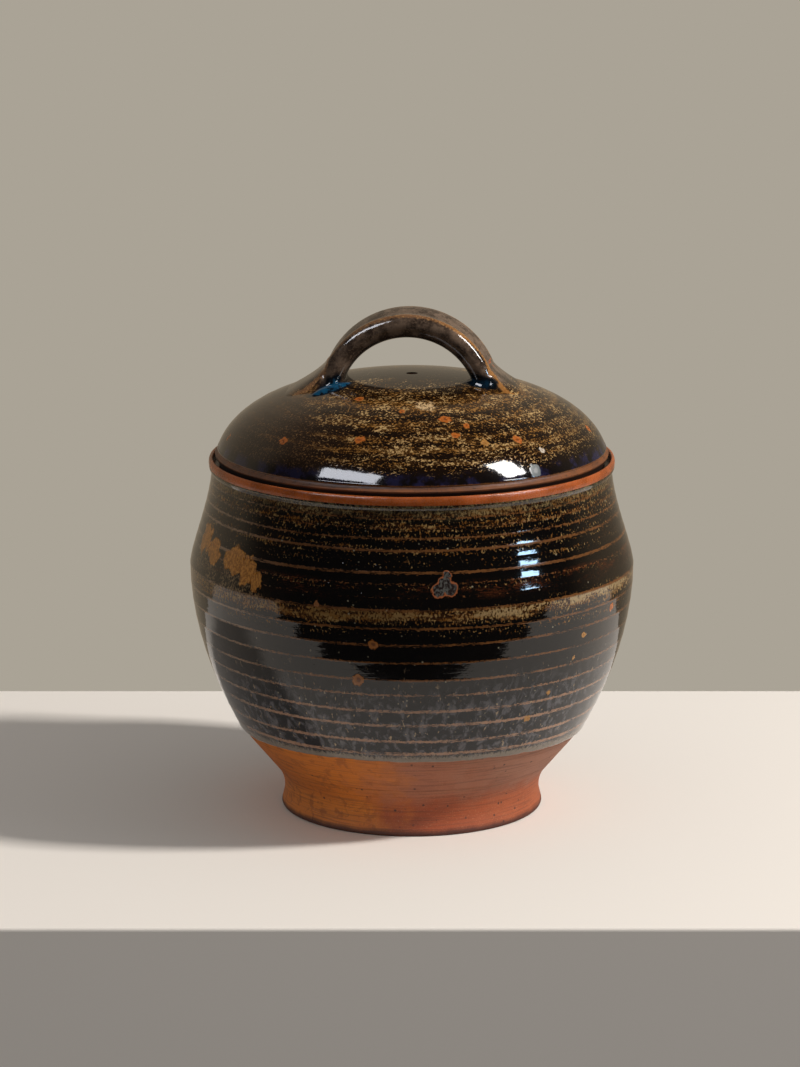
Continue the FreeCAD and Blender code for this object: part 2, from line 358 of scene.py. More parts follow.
def footOutline():
    outer = wall["footRadius"]
    bevel = wall["footBevel"]
    flare = bezier((outer, bevel), (outer, 2 * bevel), (wall["waistRadius"], wall["waistHeight"] - 2.8),
                   (wall["waistRadius"], wall["waistHeight"]), 12)
    waist = arcPoints((wall["waistRadius"] + wall["waistArc"], wall["waistHeight"]), wall["waistArc"], 180,
                      180 - wall["facetAngle"], 14)
    flank = [onFacet(height) for height in np.linspace(waistEnd[1], wall["jointHeight"] - 0.25, 4)[1:]]
    joint = [(onFacet(wall["jointHeight"])[0] - 0.7, wall["jointHeight"]),
             (wall["recessRadius"], wall["recessHeight"])]
    inner = wall["footInner"]
    low = [(inner, bevel), (inner + bevel, 0), (outer - bevel, 0), (outer - 0.3 * bevel, 0.35 * bevel)]
    return np.concatenate([flare, waist[1:], flank, joint, low])


# Throwing rings in the glaze: height of each crest, and how far the glaze breaks pale on it
ringCrests = [
    (46.5, 0.7), (53.1, 0.6), (61.7, 0.6), (69.2, 0.6), (77.4, 0.6), (85.0, 0.75), (93.4, 0.75),
    (102.0, 0.8), (109.7, 0.85), (118.3, 0.9), (124.0, 0.35), (129.6, 0.5), (134.4, 1.0), (139.5, 0.35),
    (144.2, 0.85), (149.4, 0.7), (153.8, 0.5), (158.2, 0.6), (161.6, 0.2),
]
potCoat = {
    "lowEdge": 42.2, "crestCover": 0.8, "thread": 0.022, "threadWidth": 0.6, "lineWidth": 0.75,
    "hollow": 0.0085, "edgeCover": 1.0, "roll": 2.2, "beadTop": 164.2, "sideDip": 2.0,
    "dips": [(1.3, 1.3), (0.45, 9), (0.3, 30)],   # depth, and how many go round
}


def ringShare(height):
    # 0 on a crest, 1 in the middle of a hollow, and the width of that hollow
    crests = [potCoat["lowEdge"]] + [crest for crest, _ in ringCrests]
    upper = min(max(np.searchsorted(crests, height), 1), len(crests) - 1)
    low, high = crests[upper - 1], crests[upper]
    share = min(max((height - low) / (high - low), 0), 1)
    return 4 * share * (1 - share), high - low


def nearCrest(height, width):
    # how strongly the glaze breaks at a height: sharp lines on the crests
    return max(strength * math.exp(-((height - crest) / width) ** 2) for crest, strength in ringCrests)


def ringCover(height):
    hollow, width = ringShare(height)
    cover = potCoat["crestCover"] - potCoat["hollow"] * width * hollow
    cover += potCoat["thread"] * (nearCrest(height, potCoat["threadWidth"]) - 0.5)
    fromEdge = (height - potCoat["lowEdge"]) / potCoat["roll"]
    return cover + (potCoat["edgeCover"] - cover) * math.exp(-fromEdge ** 2)


def glazeHeights():
    steps = [0, 0.03, 0.065, 0.11, 0.2, 0.35, 0.5, 0.65, 0.8, 0.89, 0.935, 0.97]
    crests = [potCoat["lowEdge"] + 1.6] + [crest for crest, _ in ringCrests]
    inner = [low + (high - low) * step for low, high in zip(crests, crests[1:]) for step in steps]
    return np.array(inner + [crests[-1]])


def potGlazeOutline():
    low = potCoat["lowEdge"]
    edge = covered(wallCurve, low + np.array([0.0, 0.12, 0.4, 0.85]), [0.2, 0.65, 0.92, 1.02])
    heights = glazeHeights()
    outside = covered(wallCurve, heights, [ringCover(height) for height in heights])
    over = covered(beadCurve, np.linspace(162.7, potCoat["beadTop"], 5), [0.5, 0.38, 0.3, 0.22, 0.05])
    under = covered(beadCurve, np.array([potCoat["beadTop"] - 0.2, 162.6]), [-0.25, -0.3])
    inner = covered(wallCurve, np.linspace(161.5, low + 0.4, 36), np.full(36, -0.25))
    return np.concatenate([edge, outside, over, under, inner])


def raggedEdge(mesh):
    # the glaze's low edge dips and lifts round the pot, and its rings wander a little
    slopes = np.gradient(wallCurve[:, 0], wallCurve[:, 1])
    for vertex in mesh.verts:
        radius = math.hypot(vertex.co.x, vertex.co.y)
        around = Vector((vertex.co.x / radius, vertex.co.y / radius, 0))
        height = vertex.co.z / mm
        low = math.exp(-max(height - potCoat["lowEdge"], 0) / 4)
        dip = sum(depth * noise.noise(around * number) for depth, number in potCoat["dips"])
        dip -= potCoat["sideDip"] * around.x ** 2
        wander = 0.4 * noise.noise(around * 1.6 + Vector((0, 0, height * 0.11)))
        calm = min(1, max(0, 161 - height) / 6)
        shift = low * dip + (1 - low) * wander * calm
        grown = 1 + shift * np.interp(height, wallCurve[:, 1], slopes) * mm / radius
        vertex.co.x *= grown
        vertex.co.y *= grown
        vertex.co.z += shift * mm


def markVertices(mesh, name, value):
    layer = mesh.verts.layers.float.new(name)
    for vertex in mesh.verts:
        vertex[layer] = value(vertex.co)


# The lid

lid = {
    "radius": 92.7, "spring": 161.6, "crown": 206.6, "crownFullness": 48.0, "sideFullness": 32.7,
    "edgeHeight": 164.6, "thickness": 5.5, "innerCrown": 50.0, "innerSide": 88.0, "innerSideHeight": 186.0,
    "flangeOuter": 84.0, "flangeInner": 80.0, "flangeDepth": 9.0, "ventRadius": 2.0, "ventLip": 1.0,
    "glaze": 0.45, "glazeLow": 171.8, "linerLow": 168.0, "turnIn": 170.6,
}


def domeCurve(cover=0.0, count=160):
    crown = lid["crown"] + cover
    side = lid["radius"] + cover
    return bezier((0, crown), (lid["crownFullness"], crown), (side, lid["spring"] + lid["sideFullness"]),
                  (side, lid["spring"]), count)


def domeInside(inset=0.0, count=60):
    crown = lid["crown"] - lid["thickness"] - inset
    return bezier((0, crown), (lid["innerCrown"], crown), (lid["innerSide"] - inset, lid["innerSideHeight"]),
                  (lid["flangeInner"] - inset, lid["edgeHeight"]), count)


clayDome = domeCurve()
glazeDome = domeCurve(lid["glaze"])


def heightOn(dome, radius):
    return float(np.interp(radius, dome[:, 0], dome[:, 1]))


def between(curve, innerRadius, lowHeight):
    keep = (curve[:, 0] > innerRadius) & (curve[:, 1] > lowHeight)
    return curve[keep]


def lidShellOutline():
    outside = between(clayDome, lid["ventRadius"] + lid["ventLip"], lid["turnIn"])
    lip = arcPoints((lid["ventRadius"] + 1, lid["crown"] - 1.05), 1, 180, 90, 5)
    edge = [(92.5, 170.0), (92.3, 169.2), (91.8, 168.4), (91.0, 167.2), (90.5, 165.6), (90.1, 164.7),
            (89.6, lid["edgeHeight"]), (lid["flangeInner"], lid["edgeHeight"])]
    inside = between(domeInside(), lid["ventRadius"] + 0.2, lid["edgeHeight"] + 0.1)[::-1]
    vent = [(lid["ventRadius"], lid["crown"] - lid["thickness"])]
    return np.concatenate([lip, outside, edge, inside, vent])


lidRings = {"pitch": 5.2, "depth": 0.05}


def lidGlazeOutline():
    face = between(glazeDome, lid["ventRadius"] + 0.7, lid["glazeLow"] + 1.2).copy()
    waves = np.sin(face[:, 0] * 2 * math.pi / lidRings["pitch"]) * np.clip(face[:, 0] / 60, 0, 1)
    face[:, 1] -= lidRings["depth"] * (0.5 + 0.5 * waves)
    low = lid["glazeLow"]
    roll = covered(clayDome, low + np.array([1.15, 0.8, 0.45, 0.18, 0.02]), [0.46, 0.5, 0.46, 0.34, 0.12])
    sunk = between(domeCurve(-0.25, 60), lid["ventRadius"] + 0.9, low + 0.4)[::-1]
    return np.concatenate([face, roll, sunk])


def lidLinerOutline():
    clay = between(domeInside(), lid["ventRadius"] + 0.4, lid["linerLow"])
    face = between(domeInside(wall["liner"]), lid["ventRadius"] + 0.4, lid["linerLow"] + 0.3)
    rings = 0.12 * np.sin(face[:, 0] * 2 * math.pi / 6.5)
    face = face - np.stack([np.zeros(len(face)), 0.12 + rings], 1)
    return np.concatenate([clay, face[::-1]])


def flangeOutline():
    top, low = lid["edgeHeight"], lid["edgeHeight"] - lid["flangeDepth"]
    outer, inner, bevel = lid["flangeOuter"], lid["flangeInner"], 1.2
    cut = 0.35 * bevel
    return np.array([(inner, top), (outer, top), (outer, low + bevel), (outer - cut, low + cut),
                     (outer - bevel, low), (inner + bevel, low), (inner + cut, low + cut),
                     (inner, low + bevel)])


# The handle

handle = {
    "offset": -1.4, "yaw": -4.0, "archRadius": 37.1, "archDepth": 10.0, "width": 29.4, "rootWidth": 33.0,
    "topThickness": 11.0, "sideThickness": 9.7, "groove": 1.9, "glaze": 0.4, "rootReach": 62.8,
    "rootFan": 48.0, "rootHollow": 1.35, "tipWidth": 25.0, "tipDepth": 3.0, "bite": 2.0, "burial": 1.0,
    "climb": 9.5, "wearWidth": 2.1, "squareness": 3.4, "voxel": 0.6, "smoothing": 3, "blendReach": 2.4,
    "blendRounds": 10, "edgeShare": 0.84,
}
bed = {"halfLength": 38, "from": 22, "to": 76, "centre": 46, "reach": 27, "halfWidth": 32, "sunk": 0.3,
       "fall": 1.7, "thickness": 3}
strapHalf = [(0.0, -1.0), (0.5, -0.96), (0.87, -0.64), (1.0, 0.05), (0.96, 0.64), (0.85, 0.95), (0.76, 1.01),
             (0.62, 0.98), (0.4, 0.88)]
pools = [((-44.5, -23.5), (-30.5, -14.0), 4.2), ((26.0, -13.5), (37.5, -18.0), 3.6)]   # from, to, radius
archHeight = heightOn(clayDome, handle["archRadius"]) - handle["archDepth"]
handlePlace = Matrix.Translation((handle["offset"] * mm, 0, 0)) @ Matrix.Rotation(
    math.radians(handle["yaw"]), 4, "Z")


def rounded(points, steps=6):
    # closed smooth line through a few points
    line = []
    count = len(points)
    for number in range(count):
        picked = [points[(number + shift) % count] for shift in (-1, 0, 1, 2)]
        before, here, there, after = np.array(picked, float)
        for step in range(steps):
            share = step / steps
            line.append(0.5 * (2 * here + (there - before) * share
                               + (2 * before - 5 * here + 4 * there - after) * share ** 2
                               + (3 * here - before - 3 * there + after) * share ** 3))
    return line


def lofted(mesh, rings):
    # closed skin over a row of rings of points, given in millimetres
    loops = []
    for ring in rings:
        corners = [mesh.verts.new(Vector(place) * mm) for place in ring]
        loops.append([mesh.edges.new(pair) for pair in zip(corners, corners[1:] + corners[:1])])
    for low, high in zip(loops, loops[1:]):
        bmesh.ops.bridge_loops(mesh, edges=low + high)
    for loop in (loops[0], loops[-1]):
        bmesh.ops.contextual_create(mesh, geom=loop)


def strapRing(turn):
    lift = math.sin(turn) ** 2
    width = handle["rootWidth"] + (handle["width"] - handle["rootWidth"]) * math.sin(turn)
    halfWidth = width / 2 + handle["glaze"]
    thickness = handle["sideThickness"] + (handle["topThickness"] - handle["sideThickness"]) * lift
    halfThick = thickness / 2 + handle["glaze"]
    middle = (0.0, 1 - handle["groove"] / halfThick)
    mirrored = [(-across, out) for across, out in reversed(strapHalf[1:])]
    ring = []
    for across, out in rounded(strapHalf + [middle] + mirrored):
        reach = handle["archRadius"] + out * halfThick
        ring.append((-math.cos(turn) * reach, across * halfWidth, archHeight + math.sin(turn) * reach))
    return ring


def squared(share, power):
    return math.copysign(abs(share) ** (2 / power), share)


def wadRings(side, stations=12):
    low = heightOn(clayDome, handle["rootReach"] + abs(handle["offset"])) - handle["burial"]
    high = heightOn(clayDome, handle["archRadius"]) + handle["climb"]
    rings = []
    for station in range(stations):
        climb = station / (stations - 1)
        spread = (1 - climb) ** handle["rootHollow"]
        power = 2 + (handle["squareness"] - 2) * (1 - climb)
        inside = handle["archRadius"] - handle["bite"]
        reach = inside + handle["tipDepth"] + (handle["rootReach"] - inside - handle["tipDepth"]) * spread
        width = handle["tipWidth"] + (handle["rootFan"] - handle["tipWidth"]) * spread
        halfWidth = width / 2 + handle["glaze"]
        middle, halfDepth = side * (inside + reach) / 2, (reach + handle["glaze"] - inside) / 2
        turns = np.linspace(0, 2 * math.pi, 40, endpoint=False)
        lift = low + (high - low) * climb
        rings.append([(middle + halfDepth * squared(math.cos(turn), power),
                       halfWidth * squared(math.sin(turn), power), lift) for turn in turns])
    return rings


def bedRings(side):
    # a patch just under the lid's glaze, which lets the handle's clay spread on to the dome
    rings = []
    for across in np.linspace(-bed["halfLength"], bed["halfLength"], 22):
        top = []
        for out in np.linspace(bed["from"], bed["to"], 30):
            far = math.hypot((out - bed["centre"]) / bed["reach"], across / bed["halfWidth"])
            depth = bed["sunk"] + bed["fall"] * far ** 3
            top.append((side * out, across, heightOn(glazeDome, math.hypot(out, across)) - depth))
        rings.append(top + [(x, y, z - bed["thickness"]) for x, y, z in reversed(top)])
    return rings


def poolPlaces(pool, count=9):
    # places along a pool of glaze and its half width there
    start, end, radius = pool
    places = []
    for share in np.linspace(0, 1, count):
        x, y = (first + (last - first) * share for first, last in zip(start, end))
        width = radius * (0.55 + 0.45 * math.sin(math.pi * share))
        places.append((Vector((x, y, heightOn(glazeDome, math.hypot(x, y)) - 0.4)), width))
    return places


def handleMesh():
    mesh = bmesh.new()
    lofted(mesh, [strapRing(turn) for turn in np.linspace(-0.12, math.pi + 0.12, 48)])
    for side in (-1, 1):
        lofted(mesh, wadRings(side))
    bmesh.ops.transform(mesh, matrix=handlePlace, verts=mesh.verts[:])
    for side in (-1, 1):
        lofted(mesh, bedRings(side))
    for pool in pools:
        for place, width in poolPlaces(pool):
            flattened = Matrix.Translation(place * mm) @ Matrix.Diagonal((1, 1, 0.5, 1))
            bmesh.ops.create_icosphere(mesh, subdivisions=3, radius=width * mm, matrix=flattened)
    bmesh.ops.recalc_face_normals(mesh, faces=mesh.faces[:])
    return mesh


def remeshed(mesh, voxel, smoothing):
    data = meshData(mesh, "rough")
    rough = added("rough", data)
    skin = rough.modifiers.new("skin", "REMESH")
    skin.mode = "VOXEL"
    skin.voxel_size = voxel * mm
    soften = rough.modifiers.new("soften", "SMOOTH")
    soften.factor = 0.5
    soften.iterations = smoothing
    bpy.context.view_layer.update()
    made = bpy.data.meshes.new_from_object(rough.evaluated_get(bpy.context.evaluated_depsgraph_get()))
    bpy.data.objects.remove(rough)
    bpy.data.meshes.remove(data)
    return made


def smoothed(mesh, chosen, rounds):
    for _ in range(rounds):
        bmesh.ops.smooth_vert(mesh, verts=chosen, factor=0.5, use_axis_x=True, use_axis_y=True,
                              use_axis_z=True)


def blendedIn(data):
    # soften the handle only where it meets the dome
    mesh = bmesh.new()
    mesh.from_mesh(data)
    close = []
    for vertex in mesh.verts:
        above = vertex.co.z / mm - heightOn(glazeDome, math.hypot(vertex.co.x, vertex.co.y) / mm)
        if -1 < above < handle["blendReach"]:
            close.append(vertex)
    smoothed(mesh, close, handle["blendRounds"])
    mesh.to_mesh(data)
    mesh.free()


def edgeLines():
    # where the strap's outer edges and the corners of its roots run, in millimetres
    places = []
    reach = handle["archRadius"] + handle["topThickness"] / 2
    for side in (-1, 1):
        across = side * handle["edgeShare"] * (handle["width"] / 2 + handle["glaze"])
        for turn in np.linspace(0.3, math.pi - 0.3, 60):
            places.append((-math.cos(turn) * reach, across, archHeight + math.sin(turn) * reach))
        for ring in wadRings(-1, 24) + wadRings(1, 24):
            places.append(max(ring, key=lambda place: abs(place[0]) * 0.7 + side * place[1]))
    return np.array([handlePlace @ (Vector(place) * mm) for place in places]) / mm


def wearAttribute(data):
    # nearness to those edges, where the glaze thins and shows the clay
    layer = data.attributes.new("wear", "FLOAT", "POINT")
    spots = np.array([vertex.co for vertex in data.vertices]) / mm
    nearest = np.full(len(spots), 1e9)
    for place in edgeLines():
        nearest = np.minimum(nearest, ((spots - place) ** 2).sum(1))
    layer.data.foreach_set("value", np.exp(-nearest / handle["wearWidth"] ** 2).astype(np.float32))


# Materials

def frontPoint(angle, radius, height):
    # a place on the pot by its bearing from the front, to the right as seen from the camera
    turn = math.radians(angle)
    return (radius * math.sin(turn), -radius * math.cos(turn), height)


clayTones = {"ochre": tone(190, 106, 26), "pinkish": tone(150, 92, 66), "red": tone(152, 78, 42),
             "rust": tone(150, 63, 15), "dark": tone(84, 46, 30), "pale": tone(190, 140, 104)}


def clayGrain(tree, place):
    turning = tree.cloud(tree.stretched(place, (0.04, 0.04, 1.3)), 1, 3, 0.6)
    grain = tree.cloud(place, 0.6, 2, 0.6)
    lumps = tree.cloud(place, 1.8, 3, 0.6)
    bump = tree.bumped(grain * 0.45 + turning * 0.9 + lumps * 0.4, 0.5, 0.3)
    return turning, grain, bump


def bareClay(tree):
    place = tree.place()
    across = tree.part(place, 0)
    height = tree.part(place, 2)
    radial = tree.distance(tree.stretched(place, (1, 1, 0)), (0, 0, 0))
    mottle = tree.cloud(place, 14, 4, 0.6)
    turning, grain, bump = clayGrain(tree, place)
    left = tree.rise(across + (mottle - 0.5) * 55, 4, -34)
    right = tree.rise(across + (mottle - 0.5) * 60, 10, 54)
    low = tree.rise(height + (mottle - 0.5) * 16, 23, 11)
    patches = tree.rise(tree.cloud(place, 5, 4, 0.65, 0.4), 0.52, 0.64) * (left * 0.7 + 0.3)
    specks = tree.rise(tree.cells(place, 5.2), 0.15, 0.08) * tree.rise(mottle, 0.42, 0.54)
    sole = tree.rise(height + (mottle - 0.5) * 3 + grain * 0.6, 4.2, 1.4)
    rim = tree.rise(height, 160, 163)
    glow = tree.graded(mottle + (grain - 0.5) * 0.3, 0.38, 0.6, tone(140, 66, 18), tone(172, 86, 38))
    # the gallery inside the rim, where the lid sits, is painted near-black: painted shade in the gap under
    # the lid
    gallery = tree.rise(radial, 94.4, 93.7) * tree.rise(height, 155, 158)
    gallery = gallery * tree.rise(height, 167.4, 166.4)
    colour = tree.layers(clayTones["pinkish"], [
        (right, tone(152, 104, 82)),
        (left, clayTones["ochre"]),
        (low * 0.8, clayTones["rust"]),
        (left * low * 0.9, tone(210, 124, 36)),
        (right * low * 0.85, clayTones["red"]),
        (tree.rise(turning, 0.46, 0.66) * 0.4, clayTones["dark"]),
        (patches * 0.45, tone(112, 58, 22)),
        (tree.rise(grain, 0.56, 0.7) * 0.25, clayTones["pale"]),
        (specks * 0.85, tone(50, 34, 30)),
        (sole * 0.9, tone(58, 24, 10)),
        (rim * 0.9, glow),
        (gallery * 0.9, tone(28, 16, 12))])
    wet = rim * (0.36 + 0.24 * tree.rise(grain, 0.42, 0.58))
    return tree.shade(Base_Color=colour, Roughness=0.66 - wet + grain * 0.1, Normal=bump,
                         Specular_IOR_Level=0.4)


def lidClay(tree):
    # the lid's bare edge, browned by a trace of glaze, with painted shade where it turns in
    place = tree.place()
    mottle = tree.cloud(place, 9, 4, 0.6)
    _, grain, bump = clayGrain(tree, place)
    specks = tree.rise(tree.cloud(place, 1.7, 2, 0.6), 0.6, 0.68)
    # below the turn-in the edge is painted near-black: painted shade in the gap over the rim
    turnInShade = tree.rise(tree.part(place, 2) + (grain - 0.5) * 0.5, 169.7, 169.0)
    colour = tree.layers(tone(124, 72, 34), [
        (tree.rise(mottle, 0.35, 0.65), tone(100, 60, 34)),
        (specks * 0.7, tone(52, 28, 16)),
        (turnInShade * 0.9, tone(20, 12, 10))])
    return tree.shade(Base_Color=colour, Roughness=0.4 + grain * 0.15, Normal=bump)


# Marks in the glaze, by bearing, height and radius; the crater's are the lobes of one broken bubble
crater = [(6.6, 127.0, 3.7), (9.5, 127.6, 3.7), (8.2, 130.0, 3.4), (8.8, 133.6, 2.2)]
potSpots = [
    (-24.5, 119.3, 1.7, "rust"), (-9.8, 102.1, 2.6, "rust"), (-14.1, 84.6, 3.2, "rust"),
    (62.1, 106.5, 2.2, "orange"), (49.7, 97.7, 1.6, "ochre"), (47.0, 88.0, 1.2, "ochre"),
    (34.8, 60.9, 1.9, "ochre"), (39.8, 72.9, 1.5, "ochre"),
    (118, 98, 4.0, "rust"), (150, 126, 5.0, "rust"), (-122, 110, 3.4, "ochre"), (-158, 76, 3.0, "rust"),
    (96, 138, 2.8, "orange"), (-96, 92, 2.4, "orange"),
]
lidSpots = [
    (-46, 186.2, 2.4, "orange"), (-18.2, 189.9, 2.5, "orange"), (-31.4, 202, 2.3, "orange"),
    (-4.8, 199.5, 1.9, "orange"), (13.8, 196.9, 3.3, "orange"), (15.3, 191.5, 2.1, "orange"),
    (21, 194.6, 1.6, "orange"), (24.4, 188.3, 2.0, "ochre"), (37, 188, 2.6, "orange"),
    (44, 182.5, 1.6, "cream"), (38.3, 175.2, 3.4, "grey"), (78, 184, 2.2, "orange"),
    (128, 190, 2.6, "orange"), (140, 186, 2.0, "ochre"), (176, 192, 2.4, "orange"),
    (-140, 183, 2.0, "orange"), (-105, 194, 2.5, "ochre"), (-78, 180, 1.9, "orange"),
]
spotTones = {   # body and heart of a spot
    "rust": (tone(138, 84, 32), tone(80, 42, 18)), "orange": (tone(166, 90, 30), tone(104, 52, 20)),
    "ochre": (tone(158, 112, 54), tone(134, 84, 38)), "cream": (tone(190, 176, 160), tone(150, 132, 116)),
    "grey": (tone(96, 100, 100), tone(128, 130, 130)),
}
potBlotches = [(-72, 134.5, 8.4), (-64.5, 131.5, 7.2), (-54, 131.5, 7.0), (-48, 128.5, 7.2),
               (-43.5, 125.0, 4.6)]


def onSurface(curve, angle, height):
    reach = float(alongCurve(curve, np.array([height]))[0][0, 0])
    return frontPoint(angle, reach, height)


def spotted(tree, colour, place, spots, curve):
    # ragged iron spots with a darker heart; returns the colour and where they are
    moved = tree.shaken(place, 2.2, 1.7)
    bodies = []
    for angle, height, radius, kind in spots:
        away = tree.distance(moved, onSurface(curve, angle, height))
        body = tree.rise(away, radius, radius * 0.8)
        heart = tree.rise(away, radius * 0.45, radius * 0.27)
        outer, inner = spotTones[kind]
        colour = tree.layers(colour, [(body * 0.95, outer), (heart * body * 0.85, inner)])
        bodies.append(body)
    return colour, tree.largest(bodies)


def cratered(tree, colour, place, fine):
    # a burst bubble: grey floor inside a thin rust lip
    moved = tree.shaken(place, 2.4, 1.3)
    depth = tree.largest([tree.near(moved, onSurface(wallCurve, angle, height), radius * 1.3, 0)
                             for angle, height, radius in crater])
    lip = tree.rise(depth, 0.12, 0.2)
    floor = tree.rise(depth, 0.3, 0.38)
    grey = tree.graded(fine, 0.44, 0.6, tone(20, 24, 26), tone(74, 78, 76))
    return tree.layers(colour, [(lip * 0.9, tone(134, 72, 34)), (floor * 0.95, grey)]), lip - floor


def blotched(tree, colour, place, fine):
    # broad rust patches with torn edges, and beige flecks trailing below them
    moved = tree.shaken(place, 5, 6.5)
    patches, trails = [], []
    for angle, height, radius in potBlotches:
        patches.append(tree.near(moved, onSurface(wallCurve, angle, height), radius, radius * 0.82))
        trails.append(tree.near(moved, onSurface(wallCurve, angle, height - 8), radius * 1.3, radius * 0.5))
    patch = tree.largest(patches)
    flecks = tree.largest(trails) * tree.rise(fine, 0.5, 0.6)
    rust = tree.graded(fine, 0.4, 0.6, tone(136, 84, 26), tone(190, 130, 56))
    return tree.layers(colour, [(flecks * 0.8, tone(130, 108, 80)), (patch * 0.92, rust)]), patch


def darkGlaze(tree):
    place = tree.place()
    height = tree.part(place, 2)
    across = tree.part(place, 0)
    crest = tree.attribute("crest")
    upright = tree.cloud(tree.stretched(place, (1, 1, 0.7)), 1.0, 2, 0.7)
    level = tree.cloud(tree.stretched(place, (0.5, 0.5, 2.2)), 1.1, 3, 0.65)
    streak = tree.cloud(tree.stretched(place, (0.1, 0.1, 1.5)), 1.9, 3, 0.6)
    middling = tree.cloud(tree.stretched(place, (1, 1, 2.2)), 5, 3, 0.6)
    patchy = tree.cloud(tree.stretched(place, (0.4, 0.4, 1.4)), 9, 3, 0.6)
    soft = tree.cloud(place, 16, 3, 0.55)
    curdled = tree.cloud(tree.stretched(place, (1, 1, 0.6)), 3.4, 4, 0.6, 0.5)

    low = tree.rise(height + (soft - 0.5) * 14, 92, 60)
    # the left and right flanks of the upper body are painted a lighter brown: painted sheen where the glaze
    # turns away
    flankSheen = tree.largest([tree.rise(across, -48, -96), tree.rise(across, 66, 100)])
    flecked = tree.levels(height, [
        (104, 0.0), (108, 0.35), (110.5, 0.1), (112, 0.55), (114, 0.95), (117.6, 1.0), (119.2, 0.2),
        (121, 0.05), (126, 0.02), (128, 0.26), (131, 0.02), (136, 0.02), (138.5, 0.3), (141, 0.03),
        (143, 0.46), (146, 0.32), (147.4, 0.04), (149, 0.48), (152, 0.25), (155, 0.75), (157, 0.4),
        (160, 0.8), (163, 0.6)])
    scatter = upright + (flecked - 0.5) * 0.2 + (patchy - 0.5) * 0.3 + (streak - 0.5) * 0.3
    flecks = tree.rise(scatter, 0.56, 0.63) * tree.rise(flecked, 0.0, 0.2)
    gold = tree.graded(middling, 0.42, 0.6, tone(116, 74, 26), tone(150, 122, 76))
    brown = tree.rise(flecked + (patchy - 0.5) * 1.2 + (streak - 0.5) * 1.6, 0.4, 0.9)
    broad = tree.levels(height, [(111, 0.0), (113.6, 0.3), (115.4, 1.0), (117.6, 1.0), (118.4, 0.0)])
    broad = broad * tree.rise(upright * 0.6 + level * 0.4 + (patchy - 0.5) * 0.6, 0.46, 0.58)
    tan = tree.graded(across, -30, 60, tone(116, 86, 46), tone(146, 126, 92))
    halo = tree.levels(height, [(156, 0.0), (160, 0.6), (162.5, 1.0), (164.5, 1.0)])
    halo = halo * tree.rise(upright + (middling - 0.5) * 0.6, 0.38, 0.62)

    torn = tree.rise(crest + low * 0.22 + (upright - 0.5) * 1.1 + (level - 0.5) * 0.9, 0.42, 0.62)
    torn = torn * tree.rise(crest, 0.05, 0.3)
    broken = torn * tree.rise(level * 0.5 + patchy * 0.5, 0.38, 0.54)
    lineTone = tree.layers(tone(104, 66, 34), [
        (low, tone(156, 120, 96)), (tree.rise(across, -50, -90), tone(140, 114, 92))])
    smear = tree.levels(height, [(122, 0.0), (125, 0.6), (129.6, 1.0), (131.5, 0.0)])
    smear = smear * tree.rise(level + (patchy - 0.5), 0.5, 0.75)
    drips = tree.rise(tree.cloud(tree.stretched(place, (1, 1, 0.32)), 1.5, 2, 0.6), 0.65, 0.73)
    stars = tree.rise(tree.cells(place, 5.5), 0.1, 0.05) * tree.rise(patchy, 0.42, 0.56)
    hem = tree.rise(tree.attribute("course") + (upright - 0.5) * 6, 45.8, 43.6)

    colour = tree.layers(tone(8, 6, 5), [
        (low, tone(7, 9, 16)),
        (low * tree.rise(curdled, 0.46, 0.66) * 0.8, tone(92, 90, 94)),
        (flankSheen * (1 - low) * 0.5, tone(54, 44, 32)),
        (brown * 0.55, tone(66, 38, 14)),
        (flecks * 0.85, gold),
        (broad * 0.85, tan),
        (halo * 0.8, tone(92, 82, 58)),
        (broken * 0.9, lineTone),
        (smear * 0.45, tone(98, 48, 20)),
        (drips * tree.rise(height, 100, 66) * 0.8, tone(156, 134, 106)),
        (stars * 0.7, tone(150, 142, 120)),
        (hem * 0.75, tone(132, 120, 106))])
    colour, spots = spotted(tree, colour, place, potSpots, wallCurve)
    colour, patch = blotched(tree, colour, place, upright)
    colour, lip = cratered(tree, colour, place, upright)
    spots = tree.largest([spots, patch, lip])
    pits = tree.rise(tree.cells(place, 4.2), 0.1, 0.04) * tree.rise(middling, 0.5, 0.6)
    thrown = tree.cloud(tree.stretched(place, (0.05, 0.05, 0.7)), 1, 3, 0.55)
    skin = tree.cloud(place, 3.2, 2, 0.5)
    bump = tree.bumped(thrown * 0.22 + skin * 0.34 + upright * 0.04 + spots * 0.35 - pits * 0.5, 0.4, 0.28)
    rough = 0.055 + spots * 0.22 + broken * 0.1 + flecks * 0.06
    return tree.shade(Base_Color=colour, Roughness=rough, Normal=bump, IOR=1.5)


